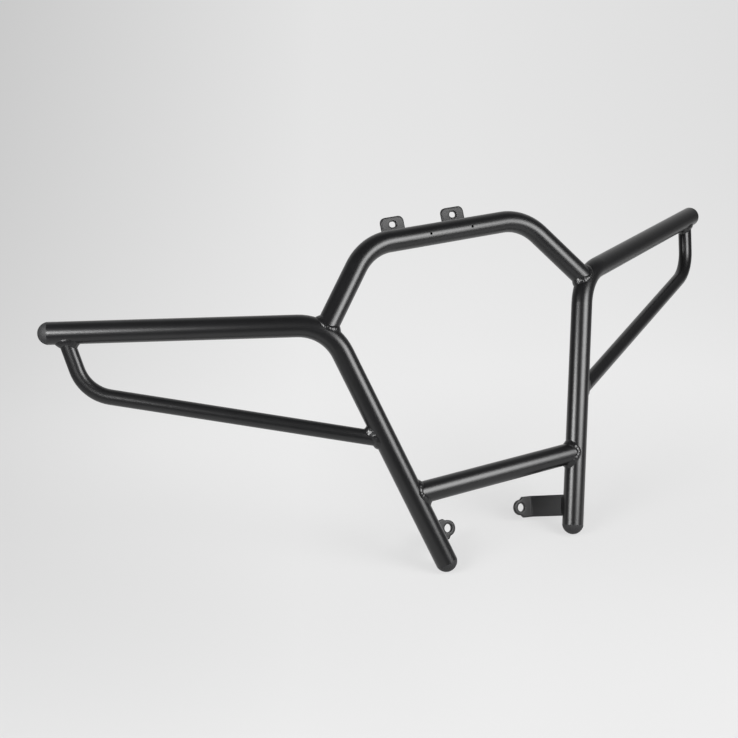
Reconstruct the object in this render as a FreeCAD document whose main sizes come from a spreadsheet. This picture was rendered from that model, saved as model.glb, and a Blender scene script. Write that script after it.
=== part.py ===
import FreeCAD, Part
import math
import os
import re
import Sketcher
from FreeCAD import Placement, Rotation, Vector

# Front bumper of a quad: bent steel tube, welded, powder coated.
# Frame: -Y ahead, +Z up, +X to the right as seen from ahead; left and right are named that way.
# Origin: midway between the two lower bolt holes, on the rear face of their ears.

doc = FreeCAD.newDocument("bumper")

SIZES = [
    ("tube_od", 32, "main tube, outside diameter"),
    ("tube_wall", 2, "main tube, wall"),
    ("brace_od", 22, "wing brace, outside diameter"),
    ("brace_wall", 2, "wing brace, wall"),
    ("rake", 24, "lean of the centre frame from upright, degrees"),
    ("shoulder_half", 222, "centre line to the corner of wing and leg"),
    ("wing_sweep", 24.5, "wings swept back from square, degrees"),
    ("wing_length", 389.5, "corner to the wing's tube end"),
    ("leg_splay", 16.5, "legs leaning in from the frame's upright, degrees"),
    ("leg_length", 384.5, "corner to the leg's tube end"),
    ("side_bend", 70, "centre line radius of the wing and leg bend"),
    ("hoop_half", 135, "centre line to the corner of the hoop"),
    ("hoop_rise", 101.5, "hoop's top above the corners, up the raked plane"),
    ("hoop_bend", 80, "centre line radius of the hoop's bends"),
    ("cope_land", 1.5, "blunt tip of a coped tube end, short of the other axis"),
    ("cross_drop", 273.5, "corner to the cross tube, along the leg"),
    ("brace_drop", 184, "corner to the brace's inner end, along the leg"),
    ("brace_inset", 21.5, "wing's tube end to the brace's outer end, along the wing"),
    ("brace_corner_inset", 8.5, "wing's tube end to the brace's own corner, along the wing"),
    ("brace_corner_drop", 94, "brace's own corner, measured along the leg"),
    ("brace_bend", 58, "centre line radius of the brace's bend"),
    ("badge_spacing", 71.5, "small holes in the hoop's front, hole to hole"),
    ("badge_hole", 4, "small holes in the hoop's front, diameter"),
    ("bar_thickness", 5, "flat bar of tabs and brackets"),
    ("bar_edge", 0.8, "rounding of the flat bar's edges"),
    ("fold_radius", 5.5, "fold of the flat bar, to the middle of its thickness"),
    ("tab_spacing", 106, "upper slots, centre to centre"),
    ("tab_width", 39, "upper tab, across"),
    ("tab_setback", 70, "raked plane to the rear face of the upper tabs"),
    ("tab_height", 40, "hoop's axis to the top of the tab"),
    ("tab_corner", 8.5, "upper tab, corner radius"),
    ("slot_height", 28.5, "hoop's axis to the slot's centre"),
    ("slot_length", 13, "upper slot, end to end"),
    ("slot_width", 9, "upper slot, across"),
    ("ear_spacing", 133, "lower bolt holes, centre to centre"),
    ("bracket_rise", 30.5, "leg's tube end to the middle of the lower bracket, along the leg"),
    ("ear_setback", 64.5, "raked plane to the rear face of the lower ears"),
    ("ear_reach", 19.5, "lower bolt hole to the fold"),
    ("ear_radius", 12, "rounded end of the ear"),
    ("ear_hole", 13, "lower bolt hole, diameter"),
    ("bracket_width", 32, "lower bracket, across the bar"),
    ("bracket_lean", 8, "lower bracket leaning from the frame's upright, degrees"),
    ("plug_dome", 14, "end plug, height of its dome"),
    ("plug_shank", 20, "end plug, length inside the tube"),
    ("plug_wall", 2, "end plug, wall of its hollow shank"),
    ("plug_rib", 1.2, "end plug, height of its grip ribs"),
    ("plug_rib_width", 1.5, "end plug, width of a rib"),
    ("plug_rib_pitch", 5.5, "end plug, rib to rib"),
    ("plug_clearance", 0.1, "rib to tube bore"),
    ("weld_leg", 5, "weld bead's reach on each side of a tube joint"),
    ("weld_round", 3, "rounding of a tube joint's bead"),
    ("bar_weld_leg", 4, "weld bead's reach on each side of a flat bar"),
    ("bar_weld_inset", 1.5, "flat bar's edge to the end of its weld bead"),
]
RIB_COUNT = 3
CREST_TOLERANCE = 0.05
EDGE_TOLERANCE = 1e-6
SHARP_COSINE = 0.8
FULL_TURN = 360
RIGHT_ANGLE = "90"

sheet = doc.addObject("Spreadsheet::Sheet", "Sizes")
for row, (alias, value, note) in enumerate(SIZES, 1):
    sheet.set(f"A{row}", note)
    sheet.set(f"B{row}", str(value))
    sheet.setAlias(f"B{row}", alias)
doc.recompute()


def size(formula):
    """Number that a formula of the sheet's names gives."""
    result = sheet.evalExpression(formula)
    return float(getattr(result, "Value", result))


NAMES = re.compile(r"\b(" + "|".join(alias for alias, _, _ in SIZES) + r")\b")


def bind(target, path, formula):
    """Tie a property to a formula of the sheet's names."""
    target.setExpression(path, NAMES.sub(r"Sizes.\1", formula))


# Formulas that more than one piece uses
TUBE_BORE = "(tube_od - 2 * tube_wall)"
BRACE_BORE = "(brace_od - 2 * brace_wall)"
CORNER_COS = "(-cos(wing_sweep) * sin(leg_splay) - sin(wing_sweep) * cos(leg_splay) * sin(rake))"
HALF_CORNER = f"(acos({CORNER_COS}) / 2)"
CROWN = f"(side_bend * (1 / sin({HALF_CORNER}) - 1) / (2 * cos({HALF_CORNER})))"
CROWN_X = f"(shoulder_half + (cos(wing_sweep) - sin(leg_splay)) * {CROWN})"
CROWN_Y = f"(sin(wing_sweep) * cos(rake) * {CROWN})"
CROWN_Z = f"((sin(wing_sweep) * sin(rake) - cos(leg_splay)) * {CROWN})"
HOOP_TURN = f"atan2(hoop_rise - {CROWN_Z}; {CROWN_X} - hoop_half)"
HOOP_FOOT = f"(sqrt((hoop_rise - {CROWN_Z})^2 + ({CROWN_X} - hoop_half)^2) - cope_land)"
CROSS_HALF = "(shoulder_half - cross_drop * sin(leg_splay) - cope_land)"
BRACE_REACH = "(wing_length - brace_inset)"
BRACE_OUT = "(wing_length - brace_corner_inset)"
BRACE_PAST = "(brace_corner_inset - brace_inset)"
BRACE_ABOVE = "(brace_corner_drop - brace_drop)"
BRACE_LONG = f"sqrt({BRACE_OUT}^2 + {BRACE_ABOVE}^2 + 2 * {BRACE_OUT} * {BRACE_ABOVE} * {CORNER_COS})"
BRACE_STUB = f"sqrt({BRACE_PAST}^2 + brace_corner_drop^2 - 2 * {BRACE_PAST} * brace_corner_drop * {CORNER_COS})"
BRACE_DOT = (f"({BRACE_OUT} * {BRACE_PAST} - brace_corner_drop * {BRACE_ABOVE} + {CORNER_COS}"
             f" * ({BRACE_ABOVE} * {BRACE_PAST} - {BRACE_OUT} * brace_corner_drop))")
BRACE_TURN = f"acos({BRACE_DOT} / ({BRACE_LONG} * {BRACE_STUB}))"
BRACKET_DROP = "(leg_length - bracket_rise)"
EAR_INSET = f"((shoulder_half - {BRACKET_DROP} * sin(leg_splay) - ear_spacing / 2) / cos(bracket_lean))"
EAR_MIDDLE = "(ear_setback - bar_thickness / 2)"
TAB_MIDDLE = "(tab_setback - bar_thickness / 2)"

# The raked frame: local X across, local Y out of the back of the centre frame, local Z up its plane
rake = Rotation(Vector(1, 0, 0), -size("rake"))
ear_height = size(f"{EAR_INSET} * sin(bracket_lean) - {BRACKET_DROP} * cos(leg_splay)")
raked = Placement(-rake.multVec(Vector(0, size("ear_setback"), ear_height)), rake)

corner = Vector(size("shoulder_half"), 0, 0)
leg_way = Vector(-size("sin(leg_splay)"), 0, -size("cos(leg_splay)"))
wing_way = Vector(size("cos(wing_sweep)"), size("sin(wing_sweep) * cos(rake)"), size("sin(wing_sweep) * sin(rake)"))
wing_end = corner + wing_way * size("wing_length")
leg_end = corner + leg_way * size("leg_length")

# Crown of the wing and leg bend, where the hoop's foot lands, and the middle of that bend
crown = Vector(size(CROWN_X), size(CROWN_Y), size(CROWN_Z))
bend_centre = crown + (wing_way + leg_way).normalize() * size("side_bend")
hoop_middle = Vector(0, crown.y, size("hoop_rise"))
hoop_corner = hoop_middle + Vector(size("hoop_half"), 0, 0)
cross_end = corner + leg_way * size("cross_drop")
brace_foot = corner + leg_way * size("brace_drop")
brace_corner = corner + wing_way * size(BRACE_OUT) + leg_way * size("brace_corner_drop")
brace_head = corner + wing_way * size(BRACE_REACH)


def along(origin, first, second):
    """Placement in the raked frame: X along the first way, the second way in its XY plane."""
    normal = first.cross(second).normalize()
    turned = Rotation(first, normal.cross(first), normal, "XYZ")
    return raked.multiply(Placement(origin, turned))


def new_body(name, placement):
    body = doc.addObject("PartDesign::Body", name)
    body.Placement = placement
    return body


def new_sketch(body, role, name):
    """Sketch on one of the body's own origin planes."""
    sketch = body.newObject("Sketcher::SketchObject", name)
    plane = next(item for item in body.Origin.OriginFeatures if item.Role == role)
    sketch.AttachmentSupport = [(plane, "")]
    sketch.MapMode = "FlatFace"
    return sketch


def hold(sketch, kind, formula, *where):
    """Driving constraint whose value follows a formula."""
    value = size(formula)
    if kind == "Angle":
        value = math.radians(value)
    index = sketch.addConstraint(Sketcher.Constraint(kind, *where, value))
    bind(sketch, f"Constraints[{index}]", formula)


def hold_point(sketch, line, end, x, y):
    """Point held at x and y formulas from the sketch's origin; None puts it on that axis."""
    for formula, kind, axis in ((x, "DistanceX", -2), (y, "DistanceY", -1)):
        if formula is None:
            sketch.addConstraint(Sketcher.Constraint("PointOnObject", line, end, axis))
        else:
            hold(sketch, kind, formula, -1, 1, line, end)


def outline(sketch, points):
    """Closed outline of straight edges through points given as pairs of formulas."""
    spots = [Vector(size(x or "0"), size(y or "0"), 0) for x, y in points]
    first = sketch.GeometryCount
    for spot, following in zip(spots, spots[1:] + spots[:1]):
        sketch.addGeometry(Part.LineSegment(spot, following))
    for step in range(len(points)):
        after = first + (step + 1) % len(points)
        sketch.addConstraint(Sketcher.Constraint("Coincident", first + step, 2, after, 1))
        hold_point(sketch, first + step, 1, *points[step])


def circle(sketch, diameter, x=None, y=None):
    """Circle of a diameter formula about a point given by formulas."""
    middle = Vector(size(x or "0"), size(y or "0"), 0)
    ring = sketch.addGeometry(Part.Circle(middle, Vector(0, 0, 1), size(diameter) / 2))
    hold_point(sketch, ring, 3, x, y)
    hold(sketch, "Diameter", diameter, ring)


def bent_path(body, first, turn, radius, second):
    """Centre line: a run along X to a corner, turned towards +Y with a bend, and a second run."""
    sketch = new_sketch(body, "XY_Plane", body.Name + "_path")
    reach = size(first)
    angle = math.radians(size(turn))
    bend = size(radius)
    cut_back = bend * math.tan(angle / 2)
    way = Vector(math.cos(angle), math.sin(angle), 0)
    apex = Vector(reach, 0, 0)
    bend_in = Vector(reach - cut_back, 0, 0)
    middle = Vector(reach - cut_back, bend, 0)
    start_angle = -math.pi / 2
    sketch.addGeometry(Part.LineSegment(Vector(0, 0, 0), bend_in))
    arc = Part.Circle(middle, Vector(0, 0, 1), bend)
    sketch.addGeometry(Part.ArcOfCircle(arc, start_angle, start_angle + angle))
    sketch.addGeometry(Part.LineSegment(apex + way * cut_back, apex + way * size(second)))
    sketch.addGeometry(Part.Point(apex), True)
    sketch.addConstraint(Sketcher.Constraint("Coincident", 0, 1, -1, 1))
    sketch.addConstraint(Sketcher.Constraint("Horizontal", 0))
    sketch.addConstraint(Sketcher.Constraint("Tangent", 0, 2, 1, 1))
    sketch.addConstraint(Sketcher.Constraint("Tangent", 1, 2, 2, 1))
    sketch.addConstraint(Sketcher.Constraint("PointOnObject", 3, 1, 0))
    sketch.addConstraint(Sketcher.Constraint("PointOnObject", 3, 1, 2))
    hold(sketch, "Radius", radius, 1)
    hold(sketch, "Angle", turn, 2)
    hold(sketch, "DistanceX", first, -1, 1, 3, 1)
    hold(sketch, "Distance", second, 3, 1, 2, 2)
    return sketch


def swept(body, profile, path):
    """Profile carried along a path."""
    doc.recompute()
    pipe = body.newObject("PartDesign::AdditivePipe", body.Name + "_sweep")
    pipe.Profile = (profile, [""])
    pipe.Spine = (path, [""])
    doc.recompute()


def bent_rod(name, placement, diameter, *runs):
    """Round rod along a bent path."""
    body = new_body(name, placement)
    profile = new_sketch(body, "YZ_Plane", name + "_section")
    circle(profile, diameter)
    swept(body, profile, bent_path(body, *runs))
    return body


def bent_bar(name, placement, width, *runs):
    """Flat bar folded along a bent path, its width along local Z."""
    body = new_body(name, placement)
    profile = new_sketch(body, "YZ_Plane", name + "_section")
    side = "bar_thickness / 2"
    edge = f"{width} / 2"
    outline(profile, [(f"-{side}", f"-{edge}"), (side, f"-{edge}"), (side, edge), (f"-{side}", edge)])
    swept(body, profile, bent_path(body, *runs))
    return body


def boolean(kind, name, base, tool):
    result = doc.addObject(kind, name)
    result.Base = base
    result.Tool = tool
    return result


def fused(name, *shapes):
    result = doc.addObject("Part::MultiFuse", name)
    result.Shapes = list(shapes)
    return result


def mirrored(name, source):
    """The same piece on the other side of the centre line."""
    copy = doc.addObject("Part::Mirroring", name)
    copy.Source = source
    copy.Normal = Vector(1, 0, 0)
    return copy


def tube(name, placement, outside, bore, *runs):
    """Bent tube: its filled outside and the outside less the bore."""
    filled = bent_rod(name + "_filled", placement, outside, *runs)
    hollow = bent_rod(name + "_bore", placement, bore, *runs)
    return filled, boolean("Part::Cut", name, filled, hollow)


def both_halves(body, feature, role):
    """Feature repeated on the other side of one of the body's origin planes."""
    mirror = body.newObject("PartDesign::Mirrored", feature.Name + "_halves")
    mirror.Originals = [feature]
    plane = next(item for item in body.Origin.OriginFeatures if item.Role == role)
    mirror.MirrorPlane = (plane, [""])
    body.Tip = mirror
    doc.recompute()


def cylinder(name, diameter, length):
    """Straight rod along its own Z."""
    rod = doc.addObject("Part::Cylinder", name)
    bind(rod, "Radius", f"{diameter} / 2")
    bind(rod, "Height", length)
    return rod


def pointed(origin, way):
    """Placement in the raked frame with Z along a way."""
    return raked.multiply(Placement(origin, Rotation(Vector(0, 0, 1), way)))


def turned(body, sketch):
    """Sketch turned once round its horizontal axis."""
    doc.recompute()
    feature = body.newObject("PartDesign::Revolution", sketch.Name + "_turned")
    feature.Profile = sketch
    feature.ReferenceAxis = (sketch, ["H_Axis"])
    feature.Angle = FULL_TURN
    doc.recompute()


def pocket(body, sketch, depth, forward):
    """Sketch cut into the body, along its normal when forward."""
    doc.recompute()
    before = body.Shape.Volume
    feature = body.newObject("PartDesign::Pocket", sketch.Name + "_cut")
    feature.Profile = sketch
    feature.Reversed = forward
    bind(feature, "Length", depth)
    doc.recompute()
    if not body.Shape.Volume < before:
        raise RuntimeError(feature.Name + " cuts nothing")
    return feature


def slot_shape(sketch, height, length, width):
    """Slot with round ends, lying along the sketch's Y at a height along its X."""
    reach = f"({length} - {width}) / 2"
    end_radius = size(width) / 2
    middle = size(height)
    for way, start in ((1, 0), (-1, math.pi)):
        ring = Part.Circle(Vector(middle, way * size(reach), 0), Vector(0, 0, 1), end_radius)
        sketch.addGeometry(Part.ArcOfCircle(ring, start, start + math.pi))
    for way in (-1, 1):
        foot = Vector(middle + way * end_radius, way * size(reach), 0)
        sketch.addGeometry(Part.LineSegment(foot, Vector(foot.x, -foot.y, 0)))
    for arc, arc_end, line, line_end in ((0, 1, 3, 1), (3, 2, 1, 2), (1, 1, 2, 1), (2, 2, 0, 2)):
        sketch.addConstraint(Sketcher.Constraint("Tangent", arc, arc_end, line, line_end))
    hold_point(sketch, 0, 3, height, reach)
    hold_point(sketch, 1, 3, height, f"-{reach}")
    sketch.addConstraint(Sketcher.Constraint("Equal", 0, 1))
    hold(sketch, "Radius", f"{width} / 2", 0)


def ear_corner(sketch):
    """Waste beside the ear's round end: quarter circle, bevelled shoulder, edge and end of the bar."""
    edge = "bracket_width / 2"
    radius = size("ear_radius")
    half = size(edge)
    top = Vector(radius, radius, 0)
    ring = Part.Circle(Vector(radius, 0, 0), Vector(0, 0, 1), radius)
    sketch.addGeometry(Part.ArcOfCircle(ring, math.pi / 2, math.pi))
    sketch.addGeometry(Part.LineSegment(top, Vector(half, half, 0)))
    sketch.addGeometry(Part.LineSegment(Vector(half, half, 0), Vector(0, half, 0)))
    sketch.addGeometry(Part.LineSegment(Vector(0, half, 0), Vector(0, 0, 0)))
    for line, line_end, other, other_end in ((0, 1, 1, 1), (1, 2, 2, 1), (2, 2, 3, 1), (3, 2, 0, 2)):
        sketch.addConstraint(Sketcher.Constraint("Coincident", line, line_end, other, other_end))
    sketch.addConstraint(Sketcher.Constraint("Coincident", 0, 2, -1, 1))
    sketch.addConstraint(Sketcher.Constraint("Vertical", 0, 3, 0, 1))
    hold_point(sketch, 0, 3, "ear_radius", None)
    hold_point(sketch, 2, 1, edge, edge)
    hold_point(sketch, 3, 1, None, edge)


def round_corners(body, radius, height):
    """Fillet the two upright corners of a flange at a height along local Y."""
    top = size(height)
    base = body.Tip
    picked = []
    for index, edge in enumerate(base.Shape.Edges, 1):
        box = edge.BoundBox
        if max(abs(box.YMin - top), abs(box.YMax - top), box.ZLength) < EDGE_TOLERANCE:
            picked.append(f"Edge{index}")
    feature = body.newObject("PartDesign::Fillet", body.Name + "_corners")
    feature.Base = (base, picked)
    bind(feature, "Radius", radius)
    doc.recompute()


def ease_edges(body, tube_filled, start):
    """Round the edges of a flat bar from a start along its run, but not its holes or the end hidden in a tube."""
    base = body.Tip
    shape = base.Shape
    inner = [edge for face in shape.Faces for wire in face.Wires if not wire.isSame(face.OuterWire)
             for edge in wire.Edges]
    picked = []
    for index, edge in enumerate(shape.Edges, 1):
        middle = edge.valueAt((edge.FirstParameter + edge.LastParameter) / 2)
        faces = shape.ancestorsOfType(edge, Part.Face)
        normals = [face.normalAt(*face.Surface.parameter(middle)) for face in faces]
        across_bar = abs(edge.Length - size("bar_thickness")) < EDGE_TOLERANCE
        hidden = tube_filled.Shape.isInside(body.Placement.multVec(middle), EDGE_TOLERANCE, True)
        sharp = len(normals) > 1 and normals[0].dot(normals[1]) < SHARP_COSINE
        early = edge.BoundBox.XMin < size(start) - EDGE_TOLERANCE
        if sharp and not (across_bar or hidden or early or any(edge.isSame(other) for other in inner)):
            picked.append(f"Edge{index}")
    feature = body.newObject("PartDesign::Fillet", body.Name + "_eased")
    feature.Base = (base, picked)
    bind(feature, "Radius", "bar_edge")
    doc.recompute()


# Side tubes: wing, bend and leg in one length of tube
side_runs = ("wing_length", f"acos(-{CORNER_COS})", "side_bend", "leg_length")
side_place = along(wing_end, wing_way * -1, leg_way)
right_side_filled, right_side_tube = tube("right_side_tube", side_place, "tube_od", TUBE_BORE, *side_runs)
left_side_filled = mirrored("left_side_filled", right_side_filled)
left_side_tube = mirrored("left_side_tube", right_side_tube)
right_side_grown = bent_rod("right_side_grown", side_place, "(tube_od + 2 * weld_leg)", *side_runs)


# Top hoop: bent tube, coped onto the crowns, with two small holes in its front
ACROSS = Vector(1, 0, 0)
BACK = Vector(0, 1, 0)
UP = Vector(0, 0, 1)
hoop_runs = ("hoop_half", HOOP_TURN, "hoop_bend", HOOP_FOOT)
hoop_place = along(hoop_middle, ACROSS, UP * -1)
hoop_filled = bent_rod("hoop_filled", hoop_place, "tube_od", *hoop_runs)
hoop_bore = bent_rod("hoop_bore", hoop_place, TUBE_BORE, *hoop_runs)
for half in (hoop_filled, hoop_bore):
    both_halves(half, half.Tip, "YZ_Plane")
badge_holes = []
for side in (-1, 1):
    hole = cylinder("badge_hole", "badge_hole", "tube_od / 2")
    spot = hoop_middle + ACROSS * (side * size("badge_spacing / 2"))
    hole.Placement = pointed(spot, BACK * -1)
    badge_holes.append(hole)
both_sides = fused("both_sides", right_side_filled, left_side_filled)
hoop_tube = boolean("Part::Cut", "hoop_tube", hoop_filled, fused("hoop_voids", hoop_bore, *badge_holes))
top_hoop = boolean("Part::Cut", "top_hoop", hoop_tube, both_sides)

# Lower cross tube: straight, coped onto both legs
cross_start = Vector(-size(CROSS_HALF), cross_end.y, cross_end.z)
cross_filled = cylinder("cross_filled", "tube_od", f"2 * {CROSS_HALF}")
cross_bore = cylinder("cross_bore", TUBE_BORE, f"2 * {CROSS_HALF}")
cross_filled.Placement = pointed(cross_start, ACROSS)
cross_bore.Placement = pointed(cross_start, ACROSS)
cross_tube = boolean("Part::Cut", "cross_tube", cross_filled, cross_bore)
lower_cross_tube = boolean("Part::Cut", "lower_cross_tube", cross_tube, both_sides)

# Wing braces: thinner bent tube from leg to wing, in the plane of both
brace_runs = (BRACE_LONG, BRACE_TURN, "brace_bend", BRACE_STUB)
brace_place = along(brace_foot, (brace_corner - brace_foot).normalize(), (brace_head - brace_corner).normalize())
brace_filled, brace_tube = tube("brace_tube", brace_place, "brace_od", BRACE_BORE, *brace_runs)
right_wing_brace = boolean("Part::Cut", "right_wing_brace", brace_tube, right_side_filled)
left_wing_brace = mirrored("left_wing_brace", right_wing_brace)


def end_plug(name, placement):
    """Moulded plug: dome over the tube's end, hollow shank with grip ribs inside it."""
    body = new_body(name, placement)
    core = new_sketch(body, "XY_Plane", name + "_core")
    shank = f"({TUBE_BORE} / 2 - plug_rib)"
    hollow = f"({shank} - plug_wall)"
    rim = "tube_od / 2"
    corners = [(None, rim), (None, shank), ("-plug_shank", shank), ("-plug_shank", hollow),
               ("-plug_wall", hollow), ("-plug_wall", None), ("plug_dome", None)]
    spots = [Vector(size(x or "0"), size(y or "0"), 0) for x, y in corners]
    for spot, following in zip(spots, spots[1:]):
        core.addGeometry(Part.LineSegment(spot, following))
    dome_middle = Vector(size("(plug_dome^2 - (tube_od / 2)^2) / (2 * plug_dome)"), 0, 0)
    ball = Part.Circle(dome_middle, UP, size("plug_dome") - dome_middle.x)
    rim_angle = math.atan2(size(rim), -dome_middle.x)
    dome = core.addGeometry(Part.ArcOfCircle(ball, 0, rim_angle))
    for step, (x, y) in enumerate(corners[:-1]):
        hold_point(core, step, 1, x, y)
        if step:
            core.addConstraint(Sketcher.Constraint("Coincident", step - 1, 2, step, 1))
    last = len(corners) - 2
    hold_point(core, last, 2, *corners[-1])
    core.addConstraint(Sketcher.Constraint("Coincident", last, 2, dome, 1))
    core.addConstraint(Sketcher.Constraint("Coincident", dome, 2, 0, 1))
    core.addConstraint(Sketcher.Constraint("PointOnObject", dome, 3, -1))
    turned(body, core)
    ribs = new_sketch(body, "XY_Plane", name + "_ribs")
    tip = f"({TUBE_BORE} / 2 - plug_clearance)"
    for rib in range(1, RIB_COUNT + 1):
        near = f"-{rib} * plug_rib_pitch"
        far = f"{near} - plug_rib_width"
        outline(ribs, [(near, hollow), (far, hollow), (far, tip), (near, tip)])
    turned(body, ribs)
    return body


right_wing_plug = end_plug("right_wing_plug", along(wing_end, wing_way, leg_way))
right_leg_plug = end_plug("right_leg_plug", along(leg_end, leg_way, wing_way))
left_wing_plug = mirrored("left_wing_plug", right_wing_plug)
left_leg_plug = mirrored("left_leg_plug", right_leg_plug)

# Upper tabs: flat bar back from the hoop, folded up into a slotted flange
tab_root = hoop_middle + ACROSS * size("tab_spacing / 2")
tab_place = along(tab_root, BACK, UP)
tab_runs = (f"({TAB_MIDDLE} - {CROWN_Y})", RIGHT_ANGLE, "fold_radius", "tab_height")
tab_bar = bent_bar("tab_bar", tab_place, "tab_width", *tab_runs)
slot = new_sketch(tab_bar, "YZ_Plane", "slot")
slot_shape(slot, "slot_height", "slot_length", "slot_width")
pocket(tab_bar, slot, "tab_setback", True)
round_corners(tab_bar, "tab_corner", "tab_height")
ease_edges(tab_bar, hoop_filled, "-bar_thickness")
right_top_tab = boolean("Part::Cut", "right_top_tab", tab_bar, hoop_filled)
left_top_tab = mirrored("left_top_tab", right_top_tab)

# Lower brackets: flat bar from the back of the leg, folded into an ear with a round end
bar_down = Vector(-size("sin(bracket_lean)"), 0, -size("cos(bracket_lean)"))
inward = BACK.cross(bar_down)
FOLD_INSET = f"({EAR_INSET} - ear_reach)"
bracket_runs = ("(ear_radius + ear_reach)", f"atan2({EAR_MIDDLE}; {FOLD_INSET})", "fold_radius",
                f"sqrt({EAR_MIDDLE}^2 + {FOLD_INSET}^2)")
bracket_foot = corner + leg_way * size(BRACKET_DROP)
ear_tip = bracket_foot + inward * size(f"{EAR_INSET} + ear_radius") + BACK * size(EAR_MIDDLE)
bracket_place = along(ear_tip, inward * -1, BACK * -1)
bracket_bar = bent_bar("bracket_bar", bracket_place, "bracket_width", *bracket_runs)
ear_face = new_sketch(bracket_bar, "XZ_Plane", "ear_hole")
circle(ear_face, "ear_hole", "ear_radius")
ear_end = new_sketch(bracket_bar, "XZ_Plane", "ear_end")
ear_corner(ear_end)
for sketch in (ear_face, ear_end):
    bind(sketch, "AttachmentOffset.Base.z", "bar_thickness / 2")
pocket(bracket_bar, ear_face, "bar_thickness", False)
ear_cut = pocket(bracket_bar, ear_end, "bar_thickness", False)
both_halves(bracket_bar, ear_cut, "XY_Plane")
ease_edges(bracket_bar, right_side_filled, "bracket_width / 2")
right_lower_bracket = boolean("Part::Cut", "right_lower_bracket", bracket_bar, right_side_filled)
left_lower_bracket = mirrored("left_lower_bracket", right_lower_bracket)
doc.recompute()


def from_line(origin, way):
    """Distance of a point from a straight axis."""
    return lambda point: (point - origin).cross(way).Length


def from_ring(middle, axis, radius):
    """Distance of a point from a bend's centre line."""
    def distance(point):
        arm = point - middle
        rise = arm.dot(axis)
        return math.hypot((arm - axis * rise).Length - radius, rise)
    return distance


def ring_weld(name, origin, way, branch, distance, filled):
    """Rounded fillet bead where a branch tube stands on the side tube."""
    collar = cylinder(name + "_collar", f"({branch} + 2 * weld_leg)", "2 * tube_od")
    collar.Placement = pointed(origin + way * size("cope_land"), way)
    near_both = boolean("Part::Common", name + "_near_both", collar, right_side_grown)
    bead = boolean("Part::Cut", name + "_bead", near_both, fused(name + "_tubes", right_side_filled, filled))
    doc.recompute()
    to_raked = raked.inverse()
    branch_reach = size(f"{branch} / 2 + weld_leg")
    side_reach = size("tube_od / 2 + weld_leg")
    crest = []
    for index, edge in enumerate(bead.Shape.Edges, 1):
        middle = to_raked.multVec(edge.valueAt((edge.FirstParameter + edge.LastParameter) / 2))
        off_branch = abs(from_line(origin, way)(middle) - branch_reach)
        off_side = abs(distance(middle) - side_reach)
        if max(off_branch, off_side) < CREST_TOLERANCE:
            crest.append((index, size("weld_round"), size("weld_round")))
    weld = doc.addObject("Part::Fillet", name)
    weld.Base = bead
    weld.Edges = crest
    return weld


def bar_weld(name, origin, axis, strap, down, width, tube_filled, bar):
    """Two straight beads along the faces of a flat bar that stands on a tube."""
    length = f"({width} - 2 * bar_weld_inset)"
    normal = strap.cross(down)
    lean = strap - axis * strap.dot(axis)
    beads = []
    for side in (-1, 1):
        ends = []
        for edge in (-1, 1):
            start = normal * (side * size("bar_thickness / 2")) + down * (edge * size(length) / 2)
            arm = start - axis * start.dot(axis)
            half = arm.dot(lean)
            reach = math.sqrt(half ** 2 - lean.dot(lean) * (arm.dot(arm) - size("tube_od / 2") ** 2)) - half
            ends.append(origin + start + strap * (reach / lean.dot(lean)))
        bead = cylinder(name + "_bead", "2 * bar_weld_leg", length)
        bead.Placement = pointed(ends[0], ends[1] - ends[0])
        beads.append(bead)
    joined = fused(name + "_joined", tube_filled, bar)
    return boolean("Part::Cut", name, fused(name + "_beads", *beads), joined)


strap_way = (inward * size(FOLD_INSET) + BACK * size(EAR_MIDDLE)).normalize()
bend_axis = wing_way.cross(leg_way).normalize()
on_leg = from_line(corner, leg_way)
on_wing = from_line(corner, wing_way)
on_crown = from_ring(bend_centre, bend_axis, size("side_bend"))
stub_way = (brace_corner - brace_head).normalize()
long_way = (brace_corner - brace_foot).normalize()
right_hoop_weld = ring_weld("right_hoop_weld", crown, (hoop_corner - crown).normalize(), "tube_od", on_crown,
                            hoop_filled)
right_cross_weld = ring_weld("right_cross_weld", cross_end, ACROSS * -1, "tube_od", on_leg, cross_filled)
right_brace_outer_weld = ring_weld("right_brace_outer_weld", brace_head, stub_way, "brace_od", on_wing,
                                   brace_filled)
right_brace_inner_weld = ring_weld("right_brace_inner_weld", brace_foot, long_way, "brace_od", on_leg,
                                   brace_filled)
right_tab_weld = bar_weld("right_tab_weld", tab_root, ACROSS, BACK, ACROSS, "tab_width", hoop_filled,
                          right_top_tab)
right_bracket_weld = bar_weld("right_bracket_weld", bracket_foot, leg_way, strap_way, bar_down, "bracket_width",
                              right_side_filled, right_lower_bracket)
left_welds = [mirrored(weld.Name.replace("right", "left"), weld)
              for weld in (right_hoop_weld, right_cross_weld, right_brace_outer_weld, right_brace_inner_weld,
                           right_tab_weld, right_bracket_weld)]

# The pieces, each in a file of its own
pieces = [left_side_tube, right_side_tube, top_hoop, lower_cross_tube, left_wing_brace, right_wing_brace,
          left_wing_plug, right_wing_plug, left_leg_plug, right_leg_plug, left_top_tab, right_top_tab,
          left_lower_bracket, right_lower_bracket, right_hoop_weld, right_cross_weld, right_brace_outer_weld,
          right_brace_inner_weld, right_tab_weld, right_bracket_weld, *left_welds]
doc.recompute()
for item in doc.Objects:
    if {"Invalid", "Error"} & set(item.State):
        raise RuntimeError(f"{item.Name} failed: {item.State}")
for piece in pieces:
    if piece.Shape.isNull() or not piece.Shape.isValid() or not piece.Shape.Solids:
        raise RuntimeError(f"{piece.Label} has no valid shape")
os.makedirs("parts", exist_ok=True)
for piece in pieces:
    piece.Shape.exportStep(f"parts/{piece.Label}.step")
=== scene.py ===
import math

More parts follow.
